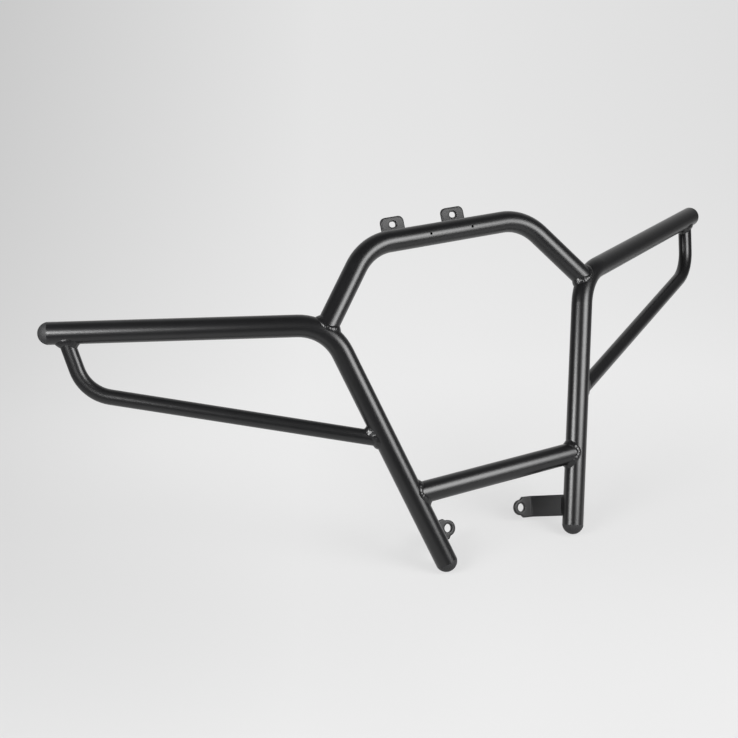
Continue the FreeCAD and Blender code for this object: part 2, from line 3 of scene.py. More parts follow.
import bpy
import numpy as np
from mathutils import Euler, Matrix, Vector


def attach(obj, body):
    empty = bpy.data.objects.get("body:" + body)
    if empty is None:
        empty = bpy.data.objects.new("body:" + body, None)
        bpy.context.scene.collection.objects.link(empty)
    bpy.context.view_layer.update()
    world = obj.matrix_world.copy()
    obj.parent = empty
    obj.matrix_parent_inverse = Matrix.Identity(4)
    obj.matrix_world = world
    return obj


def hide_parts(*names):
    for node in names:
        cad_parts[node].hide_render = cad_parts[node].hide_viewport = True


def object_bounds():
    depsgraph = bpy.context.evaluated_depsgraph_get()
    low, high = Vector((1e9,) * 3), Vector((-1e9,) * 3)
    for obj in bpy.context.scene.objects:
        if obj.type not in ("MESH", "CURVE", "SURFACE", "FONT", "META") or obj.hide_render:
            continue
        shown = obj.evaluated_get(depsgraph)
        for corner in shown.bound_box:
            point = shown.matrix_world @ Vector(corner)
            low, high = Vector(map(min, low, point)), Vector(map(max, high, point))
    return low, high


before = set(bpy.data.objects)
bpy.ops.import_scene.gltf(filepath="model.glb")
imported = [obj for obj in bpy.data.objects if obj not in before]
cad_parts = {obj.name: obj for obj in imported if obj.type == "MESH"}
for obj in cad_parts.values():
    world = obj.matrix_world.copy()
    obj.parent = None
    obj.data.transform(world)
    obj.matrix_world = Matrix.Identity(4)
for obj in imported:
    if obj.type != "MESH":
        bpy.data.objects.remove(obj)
cad_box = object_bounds()

# Sizes of the welded frame, written in millimetres and degrees, as in the part's source
TUBE_RADIUS = 16.0
BRACE_RADIUS = 11.0
RAKE = math.radians(24.0)
SHOULDER_HALF = 222.0
WING_SWEEP = math.radians(24.5)
LEG_SPLAY = math.radians(16.5)
SIDE_BEND = 70.0
HOOP_HALF = 135.0
HOOP_RISE = 101.5
CROSS_DROP = 273.5
BRACE_DROP = 184.0
BRACE_REACH = 368.0
BRACE_CORNER_OUT = 381.0
BRACE_CORNER_DROP = 94.0
BAR_HALF_THICKNESS = 2.5
TAB_HALF_SPACING = 53.0
TAB_WIDTH = 39.0
EAR_HALF_SPACING = 66.5
EAR_SETBACK = 64.5
EAR_REACH = 19.5
BRACKET_DROP = 354.0
BRACKET_WIDTH = 32.0
BRACKET_LEAN = math.radians(8.0)
BAR_WELD_INSET = 1.5
MM = 0.001


def add(tree, kind, inputs=None, **settings):
    """A node with its settings; an input is either a plain value or the socket that feeds it."""
    node = tree.nodes.new(kind)
    for name, value in settings.items():
        setattr(node, name, value)
    for name, value in (inputs or {}).items():
        if isinstance(value, bpy.types.NodeSocket):
            tree.links.new(value, node.inputs[name])
        else:
            node.inputs[name].default_value = value
    return node


def linear(hex_colour):
    """Linear colour of an sRGB hex value."""
    channels = [int(hex_colour[i:i + 2], 16) / 255 for i in (1, 3, 5)]
    return [c / 12.92 if c <= 0.04045 else ((c + 0.055) / 1.055) ** 2.4 for c in channels] + [1.0]


def per_mm(size):
    """Noise scale, in cycles a metre, of a pattern whose grains are this many millimetres apart."""
    return 1.0 / (size * MM)


def new_material(name):
    material = bpy.data.materials.new(name)
    material.use_nodes = True
    material.node_tree.nodes.clear()
    return material, material.node_tree


# Patterns of the finishes in millimetres; grain, peel and grit are drawn coarser than real, so that they show
COAT_GRAIN = 0.9
COAT_GRAIN_HEIGHT = 0.06
COAT_PEEL = 3.2
COAT_PEEL_HEIGHT = 0.10
COAT_CLOUD = 45.0
PLUG_GRIT = 0.8
PLUG_GRIT_HEIGHT = 0.05
PLUG_CLOUD = 12.0
# Between these levels a noise makes its full change of gloss or of tint
NOISE_LOW, NOISE_HIGH = 0.25, 0.75
CLOUD_LOW, CLOUD_HIGH = 0.3, 0.7
COAT_TINTS = ("#0e0e0f", "#121213")
PLUG_TINTS = ("#1e1e1f", "#232324")
COAT_GLOSS_SPREAD = 0.035
PLUG_GLOSS = (0.62, 0.74)


def satin_powder_coat(name, roughness, ior, edge):
    """Polyester powder, baked on: it flows into a fine orange peel, so a highlight is a soft band with a
    grainy edge, and the black stays a deep neutral grey where the pale floor is mirrored. Where it lies
    thick, an edge of the metal looks rounded by the given millimetres."""
    material, tree = new_material(name)
    place = add(tree, "ShaderNodeTexCoord").outputs["Object"]
    grain = add(tree, "ShaderNodeTexNoise", {"Vector": place, "Scale": per_mm(COAT_GRAIN), "Detail": 3.0,
                                             "Roughness": 0.6}).outputs["Fac"]
    peel = add(tree, "ShaderNodeTexNoise", {"Vector": place, "Scale": per_mm(COAT_PEEL), "Detail": 2.0,
                                            "Roughness": 0.5}).outputs["Fac"]
    cloud = add(tree, "ShaderNodeTexNoise", {"Vector": place, "Scale": per_mm(COAT_CLOUD), "Detail": 3.0,
                                             "Roughness": 0.55}).outputs["Fac"]
    tint = add(tree, "ShaderNodeValToRGB", {"Fac": cloud})
    for stop, position, colour in zip(tint.color_ramp.elements, (CLOUD_LOW, CLOUD_HIGH), COAT_TINTS):
        stop.position = position
        stop.color = linear(colour)
    gloss = add(tree, "ShaderNodeMapRange", {"Value": grain, "From Min": NOISE_LOW, "From Max": NOISE_HIGH,
                                             "To Min": roughness - COAT_GLOSS_SPREAD,
                                             "To Max": roughness + COAT_GLOSS_SPREAD})
    relief = {"Height": grain, "Strength": 0.5, "Distance": COAT_GRAIN_HEIGHT * MM}
    if edge:
        relief["Normal"] = add(tree, "ShaderNodeBevel", {"Radius": edge * MM}, samples=8).outputs["Normal"]
    fine = add(tree, "ShaderNodeBump", relief)
    coarse = add(tree, "ShaderNodeBump", {"Height": peel, "Strength": 0.6, "Distance": COAT_PEEL_HEIGHT * MM,
                                          "Normal": fine.outputs["Normal"]})
    coat = add(tree, "ShaderNodeBsdfPrincipled", {"Base Color": tint.outputs["Color"], "IOR": ior,
                                                  "Roughness": gloss.outputs["Result"],
                                                  "Normal": coarse.outputs["Normal"]})
    add(tree, "ShaderNodeOutputMaterial", {"Surface": coat.outputs["BSDF"]})
    return material


def moulded_polyethylene():
    """Injection-moulded end plug from a spark-eroded tool: an even matt grain, with no clear highlight."""
    material, tree = new_material("matt_black_polyethylene")
    place = add(tree, "ShaderNodeTexCoord").outputs["Object"]
    grit = add(tree, "ShaderNodeTexNoise", {"Vector": place, "Scale": per_mm(PLUG_GRIT), "Detail": 4.0,
                                            "Roughness": 0.65}).outputs["Fac"]
    cloud = add(tree, "ShaderNodeTexNoise", {"Vector": place, "Scale": per_mm(PLUG_CLOUD),
                                             "Detail": 2.0}).outputs["Fac"]
    tint = add(tree, "ShaderNodeValToRGB", {"Fac": cloud})
    for stop, position, colour in zip(tint.color_ramp.elements, (CLOUD_LOW, CLOUD_HIGH), PLUG_TINTS):
        stop.position = position
        stop.color = linear(colour)
    gloss = add(tree, "ShaderNodeMapRange", {"Value": grit, "From Min": NOISE_LOW, "From Max": NOISE_HIGH,
                                             "To Min": PLUG_GLOSS[0], "To Max": PLUG_GLOSS[1]})
    bump = add(tree, "ShaderNodeBump", {"Height": grit, "Strength": 0.6, "Distance": PLUG_GRIT_HEIGHT * MM})
    plastic = add(tree, "ShaderNodeBsdfPrincipled", {"Base Color": tint.outputs["Color"], "IOR": 1.51,
                                                     "Roughness": gloss.outputs["Result"],
                                                     "Normal": bump.outputs["Normal"]})
    add(tree, "ShaderNodeOutputMaterial", {"Surface": plastic.outputs["BSDF"]})
    return material


# The flat bar's coat is thicker than the tubes', so its faces are duller and its edges look soft
powder_coat = satin_powder_coat("satin_black_powder_coat", roughness=0.305, ior=1.5, edge=0.0)
plate_coat = satin_powder_coat("satin_black_powder_coat_on_plate", roughness=0.43, ior=1.46, edge=3.5)
plug_plastic = moulded_polyethylene()
for name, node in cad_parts.items():
    node.data.materials.clear()
    if name.endswith("plug"):
        node.data.materials.append(plug_plastic)
    elif name.endswith(("tab", "bracket")):
        node.data.materials.append(plate_coat)
    else:
        node.data.materials.append(powder_coat)

# Axes of the tubes in the raked frame: across, out of the back, up the frame's plane
ACROSS = np.array([1.0, 0.0, 0.0])
BACK = np.array([0.0, 1.0, 0.0])
corner = ACROSS * SHOULDER_HALF
leg_way = np.array([-math.sin(LEG_SPLAY), 0.0, -math.cos(LEG_SPLAY)])
wing_way = np.array([math.cos(WING_SWEEP), math.sin(WING_SWEEP) * math.cos(RAKE),
                     math.sin(WING_SWEEP) * math.sin(RAKE)])


def unit(vector):
    return vector / np.linalg.norm(vector)


bisector = unit(wing_way + leg_way)
half_corner = math.acos(float(wing_way @ leg_way)) / 2
crown = corner + bisector * SIDE_BEND * (1 / math.sin(half_corner) - 1)
bend_centre = crown + bisector * SIDE_BEND
bend_axis = unit(np.cross(wing_way, leg_way))
hoop_corner = np.array([HOOP_HALF, crown[1], HOOP_RISE])
cross_end = corner + leg_way * CROSS_DROP
brace_foot = corner + leg_way * BRACE_DROP
brace_head = corner + wing_way * BRACE_REACH
brace_corner = corner + wing_way * BRACE_CORNER_OUT + leg_way * BRACE_CORNER_DROP
bracket_foot = corner + leg_way * BRACKET_DROP
bracket_down = np.array([-math.sin(BRACKET_LEAN), 0.0, -math.cos(BRACKET_LEAN)])
bracket_inward = np.cross(BACK, bracket_down)
ear_inset = (bracket_foot[0] - EAR_HALF_SPACING) / math.cos(BRACKET_LEAN)
ear_height = bracket_foot[2] + ear_inset * math.sin(BRACKET_LEAN)
strap_way = unit(bracket_inward * (ear_inset - EAR_REACH) + BACK * (EAR_SETBACK - BAR_HALF_THICKNESS))
tab_root = np.array([TAB_HALF_SPACING, crown[1], HOOP_RISE])


def to_row(points):
    """Raked frame in millimetres to the row's frame in metres."""
    turn = np.array([[1, 0, 0], [0, math.cos(RAKE), math.sin(RAKE)], [0, -math.sin(RAKE), math.cos(RAKE)]])
    return (points - np.array([0, EAR_SETBACK, ear_height])) @ turn.T * MM


def to_line(origin, way):
    """For a straight tube: the point of its axis nearest to each given point."""
    return lambda points: origin + ((points - origin) @ way)[..., None] * way


def to_bend(points):
    """For the bend between wing and leg: the point of its axis nearest to each given point."""
    arm = points - bend_centre
    flat = arm - (arm @ bend_axis)[..., None] * bend_axis
    return bend_centre + flat * (SIDE_BEND / np.linalg.norm(flat, axis=-1, keepdims=True))


# Search along a branch for where it meets a tube, in millimetres and steps
SOLVER_REACH = 60.0
SOLVER_SAMPLES = 61
SOLVER_STEPS = 40


def slide(base, way, to_axis):
    """Base points moved along a way until they lie on the surface of a frame tube."""
    def depth(points):
        return np.linalg.norm(points - to_axis(points), axis=-1) - TUBE_RADIUS

    trials = np.linspace(-SOLVER_REACH, SOLVER_REACH, SOLVER_SAMPLES)
    low = trials[np.argmin([depth(base + way * trial) for trial in trials], axis=0)]
    high = np.full(low.shape, SOLVER_REACH)
    for _ in range(SOLVER_STEPS):
        middle = (low + high) / 2
        inside = depth(base + way * middle[:, None]) < 0
        low = np.where(inside, middle, low)
        high = np.where(inside, high, middle)
    return base + way * low[:, None]


# Section of a weld bead in millimetres: its reach on each side, which is shorter where the surfaces run on
# into each other, how far it sags or swells, and how deep its toes and its root are sunk
CREST_STEPS = 18
BEAD_LEG = 6.0
BEAD_LEG_FALL = 1.9
BEAD_HOLLOW = 0.35
BEAD_SWELL = 2.15
BEAD_SHARPEST = -0.2
SAME_WAY = 1e-9
TOE_SINK = 0.25
ROOT_DEPTH = 1.0


def on_round(to_axis, radius):
    """Points moved to just under the surface of a tube."""
    def seat(points):
        axis = to_axis(points)
        arm = points - axis
        return axis + arm * ((radius - TOE_SINK) / np.linalg.norm(arm, axis=-1, keepdims=True))
    return seat


def on_flat(foot, normal):
    """Points moved to just under the face of a flat bar."""
    return lambda points: points - (((points - foot) @ normal) + TOE_SINK)[..., None] * normal


def bead_grid(root, first, second, run, scale):
    """Fillet of weld metal along a root line between two surfaces, each given by its normals and by what
    seats a toe on it: a little hollow in a corner, and a low rope where the surfaces run on into each other.
    With it comes the share of the way from the first toe to the second for each point of a section."""
    (first_normal, first_seat), (second_normal, second_seat) = first, second
    middle = first_normal + second_normal
    middle = middle / np.linalg.norm(middle, axis=1, keepdims=True)
    side = np.cross(run, middle)
    side = side * np.sign((side * (second_normal - first_normal)).sum(axis=1, keepdims=True) + SAME_WAY)
    between = (first_normal * second_normal).sum(axis=1)
    leg = scale * (BEAD_LEG - BEAD_LEG_FALL * np.clip(between, 0.0, 1.0))
    toes = []
    for normal, seat, hand in ((first_normal, first_seat, 1), (second_normal, second_seat, -1)):
        tangent = np.cross(run, normal)
        tangent = tangent * np.sign((tangent * side).sum(axis=1, keepdims=True)) * hand
        toes.append(seat(root + tangent * leg[:, None]))
    swell = scale * (BEAD_SWELL * np.maximum(between, BEAD_SHARPEST) - BEAD_HOLLOW)
    pull = (toes[0] + toes[1]) / 2 + middle * (2 * swell)[:, None]
    share = np.linspace(0.0, 1.0, CREST_STEPS)
    weight = share[None, :, None]
    crest = (toes[0][:, None] * (1 - weight) ** 2 + pull[:, None] * 2 * weight * (1 - weight)
             + toes[1][:, None] * weight ** 2)
    buried = root - middle * ROOT_DEPTH
    return np.concatenate([crest, buried[:, None]], axis=1), np.append(share, 0.0)


# Ripples are pushed along by the lumps, lie about the fillet's surface and die away at the toes
RIPPLE_DRIFT = 0.3
RIPPLE_MEAN = 0.6
CREST_POWER = 0.6


def ripple_nodes():
    """Geometry nodes that raise the ripples of a weld pool along a bead and make its crest uneven."""
    tree = bpy.data.node_groups.new("weld_ripples", "GeometryNodeTree")
    tree.interface.new_socket("Bead", in_out="INPUT", socket_type="NodeSocketGeometry")
    for name in ("Ripple height", "Ripple curl", "Lump height", "Lump size", "Seed"):
        tree.interface.new_socket(name, in_out="INPUT", socket_type="NodeSocketFloat")
    tree.interface.new_socket("Coat", in_out="INPUT", socket_type="NodeSocketMaterial")
    tree.interface.new_socket("Bead", in_out="OUTPUT", socket_type="NodeSocketGeometry")
    given = add(tree, "NodeGroupInput").outputs

    along, across = [add(tree, "GeometryNodeInputNamedAttribute", {"Name": name},
                         data_type="FLOAT").outputs["Attribute"] for name in ("along", "across")]
    place = add(tree, "GeometryNodeInputPosition").outputs["Position"]
    lump_scale = add(tree, "ShaderNodeMath", {0: 1.0, 1: given["Lump size"]}, operation="DIVIDE").outputs[0]
    cloud = add(tree, "ShaderNodeTexNoise", {"Vector": place, "W": given["Seed"], "Scale": lump_scale,
                                             "Detail": 1.0}, noise_dimensions="4D").outputs["Fac"]
    lump = add(tree, "ShaderNodeMath", {0: cloud, 1: 2.0, 2: -1.0}, operation="MULTIPLY_ADD").outputs[0]
    aside = add(tree, "ShaderNodeMath", {0: across, 1: 0.5}, operation="SUBTRACT").outputs[0]
    bow = add(tree, "ShaderNodeMath", {0: aside, 1: aside}, operation="MULTIPLY").outputs[0]
    curled = add(tree, "ShaderNodeMath", {0: bow, 1: given["Ripple curl"], 2: along},
                 operation="MULTIPLY_ADD").outputs[0]
    phase = add(tree, "ShaderNodeMath", {0: lump, 1: RIPPLE_DRIFT, 2: curled},
                operation="MULTIPLY_ADD").outputs[0]
    turn = add(tree, "ShaderNodeMath", {0: phase, 1: math.pi}, operation="MULTIPLY").outputs[0]
    wave = add(tree, "ShaderNodeMath", {0: turn}, operation="SINE").outputs[0]
    scallop = add(tree, "ShaderNodeMath", {0: wave}, operation="ABSOLUTE").outputs[0]
    ripple = add(tree, "ShaderNodeMath", {0: scallop, 1: RIPPLE_MEAN}, operation="SUBTRACT").outputs[0]
    uneven = add(tree, "ShaderNodeMath", {0: lump, 1: given["Lump height"]}, operation="MULTIPLY").outputs[0]
    height = add(tree, "ShaderNodeMath", {0: ripple, 1: given["Ripple height"], 2: uneven},
                 operation="MULTIPLY_ADD").outputs[0]
    arc = add(tree, "ShaderNodeMath", {0: across, 1: math.pi}, operation="MULTIPLY").outputs[0]
    bulge = add(tree, "ShaderNodeMath", {0: arc}, operation="SINE").outputs[0]
    crest = add(tree, "ShaderNodeMath", {0: bulge, 1: CREST_POWER}, operation="POWER").outputs[0]
    rise = add(tree, "ShaderNodeMath", {0: height, 1: crest}, operation="MULTIPLY").outputs[0]
    normal = add(tree, "GeometryNodeInputNormal").outputs["Normal"]
    shift = add(tree, "ShaderNodeVectorMath", {0: normal, "Scale": rise}, operation="SCALE").outputs["Vector"]
    moved = add(tree, "GeometryNodeSetPosition", {"Geometry": given["Bead"], "Offset": shift})
    smooth = add(tree, "GeometryNodeSetShadeSmooth", {"Geometry": moved.outputs["Geometry"]})
    solid = add(tree, "GeometryNodeRealizeInstances", {"Geometry": smooth.outputs["Geometry"]})
    coated = add(tree, "GeometryNodeSetMaterial", {"Geometry": solid.outputs["Geometry"],
                                                   "Material": given["Coat"]})
    add(tree, "NodeGroupOutput", {"Bead": coated.outputs["Geometry"]})
    return tree


ripples = ripple_nodes()
# Relief of the beads and their size at each kind of joint, in millimetres or as a share of the section above
RIPPLE_PITCH = 3.6
RIPPLE_HEIGHT = 0.24
RIPPLE_CURL = 2.0
LUMP_HEIGHT = 0.35
LUMP_SIZE = 6.0
STEPS_PER_RIPPLE = 10
TUBE_BEAD_SCALE = 1.0
BRACE_BEAD_SCALE = 1.1
BAR_BEAD_SCALE = 0.75
BAR_BEAD_RUN_OUT = 4.0
ROUNDED_TIP = 5.0
BAR_BEAD_END = 0.3


def socket_of(tree, name):
    return next(item.identifier for item in tree.interface.items_tree
                if item.item_type == "SOCKET" and item.in_out == "INPUT" and item.name == name)


def weld_piece(name, node, grids, share, closed, seed):
    """One weld piece from grids of bead points, closed round the section and either closed or capped at the
    ends."""
    points, faces, along, across = [], [], [], []
    for grid in grids:
        start = len(points)
        count, section = grid.shape[:2]
        points.extend(grid.reshape(-1, 3))
        along.extend(np.repeat(np.arange(count) / STEPS_PER_RIPPLE, section))
        across.extend(np.tile(share, count))
        for i in range(count if closed else count - 1):
            for j in range(section):
                a, b = i * section + j, i * section + (j + 1) % section
                step = ((i + 1) % count - i) * section
                faces.append([start + a, start + b, start + b + step, start + a + step])
        if not closed:
            faces.append([start + j for j in reversed(range(section))])
            faces.append([start + (count - 1) * section + j for j in range(section)])
    mesh = bpy.data.meshes.new(name)
    mesh.from_pydata(points, [], faces)
    for key, values in (("along", along), ("across", across)):
        mesh.attributes.new(key, "FLOAT", "POINT").data.foreach_set("value", np.array(values, np.float32))
    piece = bpy.data.objects.new(name, mesh)
    bpy.context.scene.collection.objects.link(piece)
    modifier = piece.modifiers.new("ripples", "NODES")
    modifier.node_group = ripples
    sizes = {"Ripple height": RIPPLE_HEIGHT * MM, "Ripple curl": RIPPLE_CURL, "Lump height": LUMP_HEIGHT * MM,
             "Lump size": LUMP_SIZE * MM, "Seed": float(seed), "Coat": powder_coat}
    for key, value in sizes.items():
        modifier[socket_of(ripples, key)] = value
    made = bpy.data.meshes.new_from_object(piece.evaluated_get(bpy.context.evaluated_depsgraph_get()))
    piece.modifiers.clear()
    piece.data = made
    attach(piece, "root")
    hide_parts(node)


def ring_bead(origin, way, radius, to_axis):
    """Bead round a branch tube that stands on a frame tube."""
    first = unit(np.cross(way, BACK + ACROSS))
    second = np.cross(way, first)
    steps = round(2 * math.pi * radius / RIPPLE_PITCH) * STEPS_PER_RIPPLE
    turn = np.linspace(0.0, 2 * math.pi, steps, endpoint=False)[:, None]
    spokes = np.cos(turn) * first + np.sin(turn) * second
    root = slide(origin + spokes * radius, way, to_axis)
    scale = np.full(steps, TUBE_BEAD_SCALE if radius == TUBE_RADIUS else BRACE_BEAD_SCALE)
    # Where both tubes are the same size, the root would come to a sharp tip on each flank, so it is rounded
    if radius == TUBE_RADIUS:
        square = 1.0 - ((root - to_axis(root)) / TUBE_RADIUS) @ way
        root = root + way * (ROUNDED_TIP * square ** (TUBE_RADIUS / ROUNDED_TIP))[:, None]
    run = np.roll(root, -1, axis=0) - np.roll(root, 1, axis=0)
    run = run / np.linalg.norm(run, axis=1, keepdims=True)
    normal = root - to_axis(root)
    normal = normal / np.linalg.norm(normal, axis=1, keepdims=True)
    first_side = (normal, on_round(to_axis, TUBE_RADIUS))
    second_side = (spokes, on_round(to_line(origin, way), radius))
    return bead_grid(root, first_side, second_side, run, scale)


def bar_bead(origin, way, down, to_axis, width, face):
    """Bead along one face of a flat bar that stands on a frame tube; it tapers off at both ends."""
    half = width / 2 - BAR_WELD_INSET
    steps = round(2 * half / RIPPLE_PITCH) * STEPS_PER_RIPPLE
    share = np.linspace(-1.0, 1.0, steps)
    normal = np.cross(way, down) * face
    root = slide(origin + normal * BAR_HALF_THICKNESS + down * (share * half)[:, None], way, to_axis)
    run = np.gradient(root, axis=0)
    run = run / np.linalg.norm(run, axis=1, keepdims=True)
    to_end = np.clip((1.0 - np.abs(share)) * half / BAR_BEAD_RUN_OUT, 0.0, 1.0)
    scale = BAR_BEAD_SCALE * (BAR_BEAD_END + (1 - BAR_BEAD_END) * np.sqrt(1 - (1 - to_end) ** 2))
    on_tube = (root - to_axis(root)) / TUBE_RADIUS
    first_side = (on_tube, on_round(to_axis, TUBE_RADIUS))
    second_side = (np.broadcast_to(normal, root.shape), on_flat(root[0], normal))
    return bead_grid(root, first_side, second_side, run, scale)


def outward(grid, side):
    """Bead points of the right-hand joint, or of its mirror image, in the row's frame, ordered so that the
    faces point outwards."""
    grid = to_row(grid * np.array([side, 1.0, 1.0]))
    here, beside, along = grid[0, 0], grid[0, 1], grid[1, 0]
    facing = np.cross(beside - here, along - here) @ (here - grid[0].mean(axis=0))
    return grid if facing > 0 else grid[::-1]


on_leg = to_line(corner, leg_way)
on_wing = to_line(corner, wing_way)
ring_joints = {
    "hoop": (crown, unit(hoop_corner - crown), TUBE_RADIUS, to_bend),
    "cross": (cross_end, -ACROSS, TUBE_RADIUS, on_leg),
    "brace_outer": (brace_head, unit(brace_corner - brace_head), BRACE_RADIUS, on_wing),
    "brace_inner": (brace_foot, unit(brace_corner - brace_foot), BRACE_RADIUS, on_leg),
}
bar_joints = {
    "tab": (tab_root, BACK, ACROSS, to_line(tab_root, ACROSS), TAB_WIDTH),
    "bracket": (bracket_foot, strap_way, bracket_down, on_leg, BRACKET_WIDTH),
}
seed = 0
for side, hand in ((1, "right"), (-1, "left")):
    for joint, place in ring_joints.items():
        seed += 1
        grid, share = ring_bead(*place)
        weld_piece(f"{hand}_{joint}_bead", f"{hand}_{joint}_weld", [outward(grid, side)], share, True, seed)
    for joint, place in bar_joints.items():
        seed += 1
        beads = [bar_bead(*place, face) for face in (-1, 1)]
        grids = [outward(grid, side) for grid, share in beads]
        weld_piece(f"{hand}_{joint}_bead", f"{hand}_{joint}_weld", grids, beads[0][1], False, seed)

# Pale floor just under the lower plugs, in metres; a level of 1 is white
FLOOR_SPAN = 30.0
FLOOR_GAP = 0.0005
FLOOR_GLOW = 0.745
FLOOR_PAINT = "#6a6a6a"
# The photograph's line of sight along the floor, and the way to its right
VIEW_WAY = (0.490, 0.872, 0.0)
VIEW_RIGHT = (0.872, -0.490, 0.0)
# Wedge that opens from in front of the frame: how far right a spot is, as a share of its way from the apex
DIM_APEX = 3.43
DIM_NEAREST = 0.5
DIM_OFFSET = 0.176
DIM_LEFT = -0.2345
DIM_RIGHT = -0.03
DIM_LEVEL = 0.72
RIGHT_START = 0.05
RIGHT_END = 0.2
RIGHT_LEVEL = 0.95
# The wedge fades out round the stretch of floor that the picture shows
DIM_MIDDLE = (1.3, 2.35, 0.0)
DIM_REACH = 3.8
DIM_END = 8.0
# Pools of lamp light in front of the frame and under its left wing
POOL_MIDDLE = (0.0, -0.45, 0.0)
POOL_REACH = 0.3
POOL_FADE = 1.1
POOL_GLOW = 0.82
CORNER_MIDDLE = (-0.825, 0.06, 0.0)
CORNER_REACH = 0.1
CORNER_FADE = 0.8
CORNER_LEVEL = 0.82
# Sheet of floor that the coat mirrors: its soft front edge and its two soft sides, which open with the view
SHEET_FRONT = -0.40
SHEET_FADE = -0.90
SHEET_LEVEL = 0.13
EDGE_SLANT = 0.257
EDGE_START = 0.5
EDGE_END = 1.25
EDGE_LEVEL = 0.35

floor_mesh = bpy.data.meshes.new("floor")
floor_height = cad_box[0].z - FLOOR_GAP
floor_mesh.from_pydata([(x * FLOOR_SPAN, y * FLOOR_SPAN, floor_height)
                        for x, y in ((-1, -1), (1, -1), (1, 1), (-1, 1))], [], [[0, 1, 2, 3]])
floor = bpy.data.objects.new("floor", floor_mesh)
bpy.context.scene.collection.objects.link(floor)
floor_paint, tree = new_material("pale_floor")
path = add(tree, "ShaderNodeLightPath").outputs
mirrored = add(tree, "ShaderNodeMath", {0: path["Is Glossy Ray"], 1: path["Is Transmission Ray"]},
               operation="MAXIMUM").outputs[0]
spot = add(tree, "ShaderNodeTexCoord").outputs["Object"]
depth = add(tree, "ShaderNodeVectorMath", {0: spot, 1: VIEW_WAY}, operation="DOT_PRODUCT").outputs["Value"]
right = add(tree, "ShaderNodeVectorMath", {0: spot, 1: VIEW_RIGHT}, operation="DOT_PRODUCT").outputs["Value"]

# The backdrop is dimmer to the left, in a wedge that ends outside the picture
ahead = add(tree, "ShaderNodeMath", {0: depth, 1: DIM_APEX}, operation="ADD").outputs[0]
ahead = add(tree, "ShaderNodeMath", {0: ahead, 1: DIM_NEAREST}, operation="MAXIMUM").outputs[0]
beside = add(tree, "ShaderNodeMath", {0: right, 1: DIM_OFFSET}, operation="ADD").outputs[0]
wedge = add(tree, "ShaderNodeMath", {0: beside, 1: ahead}, operation="DIVIDE").outputs[0]
dim = add(tree, "ShaderNodeMapRange", {"Value": wedge, "From Min": DIM_LEFT, "From Max": DIM_RIGHT,
                                       "To Min": DIM_LEVEL, "To Max": 1.0}).outputs["Result"]
off_dim = add(tree, "ShaderNodeVectorMath", {0: spot, 1: DIM_MIDDLE}, operation="DISTANCE").outputs["Value"]
beyond = add(tree, "ShaderNodeMapRange", {"Value": off_dim, "From Min": DIM_REACH, "From Max": DIM_END},
             interpolation_type="SMOOTHSTEP").outputs["Result"]
dim = add(tree, "ShaderNodeMix", {0: beyond, 2: dim, 3: 1.0}, data_type="FLOAT").outputs[0]

# The lamps light the floor most in front of the frame, so it glows less there
off_pool = add(tree, "ShaderNodeVectorMath", {0: spot, 1: POOL_MIDDLE}, operation="DISTANCE").outputs["Value"]
pool = add(tree, "ShaderNodeMapRange", {"Value": off_pool, "From Min": POOL_REACH, "From Max": POOL_FADE,
                                        "To Min": POOL_GLOW * FLOOR_GLOW, "To Max": FLOOR_GLOW},
           interpolation_type="SMOOTHSTEP").outputs["Result"]
level = add(tree, "ShaderNodeMath", {0: dim, 1: pool}, operation="MULTIPLY").outputs[0]

# What the coat mirrors ends softly in front of the picture and beside it
front = add(tree, "ShaderNodeMapRange", {"Value": depth, "From Min": SHEET_FADE, "From Max": SHEET_FRONT,
                                         "To Min": SHEET_LEVEL, "To Max": 1.0},
            interpolation_type="SMOOTHSTEP").outputs["Result"]
aside = add(tree, "ShaderNodeMath", {0: right}, operation="ABSOLUTE").outputs[0]
slant = add(tree, "ShaderNodeMath", {0: depth, 1: -EDGE_SLANT, 2: aside}, operation="MULTIPLY_ADD").outputs[0]
edge = add(tree, "ShaderNodeMapRange", {"Value": slant, "From Min": EDGE_START, "From Max": EDGE_END,
                                        "To Min": 1.0, "To Max": EDGE_LEVEL},
           interpolation_type="SMOOTHSTEP").outputs["Result"]
sheet = add(tree, "ShaderNodeMath", {0: front, 1: edge}, operation="MULTIPLY").outputs[0]

# The camera sees the floor a little dimmer where the left lamp lights it, and to the far right
off_corner = add(tree, "ShaderNodeVectorMath", {0: spot, 1: CORNER_MIDDLE},
                 operation="DISTANCE").outputs["Value"]
corner_dim = add(tree, "ShaderNodeMapRange", {"Value": off_corner, "From Min": CORNER_REACH,
                                              "From Max": CORNER_FADE, "To Min": CORNER_LEVEL, "To Max": 1.0},
                 interpolation_type="SMOOTHSTEP").outputs["Result"]
right_dim = add(tree, "ShaderNodeMapRange", {"Value": wedge, "From Min": RIGHT_START, "From Max": RIGHT_END,
                                             "To Min": 1.0, "To Max": RIGHT_LEVEL}).outputs["Result"]
right_dim = add(tree, "ShaderNodeMix", {0: beyond, 2: right_dim, 3: 1.0}, data_type="FLOAT").outputs[0]
in_view = add(tree, "ShaderNodeMath", {0: path["Is Camera Ray"], 1: corner_dim},
              operation="MULTIPLY").outputs[0]
in_view = add(tree, "ShaderNodeMath", {0: in_view, 1: right_dim}, operation="MULTIPLY").outputs[0]
seen = add(tree, "ShaderNodeMath", {0: mirrored, 1: sheet, 2: in_view}, operation="MULTIPLY_ADD").outputs[0]
strength = add(tree, "ShaderNodeMath", {0: level, 1: seen}, operation="MULTIPLY").outputs[0]
glow = add(tree, "ShaderNodeEmission", {"Color": linear("#ffffff"), "Strength": strength})
matt = add(tree, "ShaderNodeBsdfDiffuse", {"Color": linear(FLOOR_PAINT)})
both = add(tree, "ShaderNodeAddShader", {0: glow.outputs[0], 1: matt.outputs[0]})
add(tree, "ShaderNodeOutputMaterial", {"Surface": both.outputs[0]})
floor_mesh.materials.append(floor_paint)

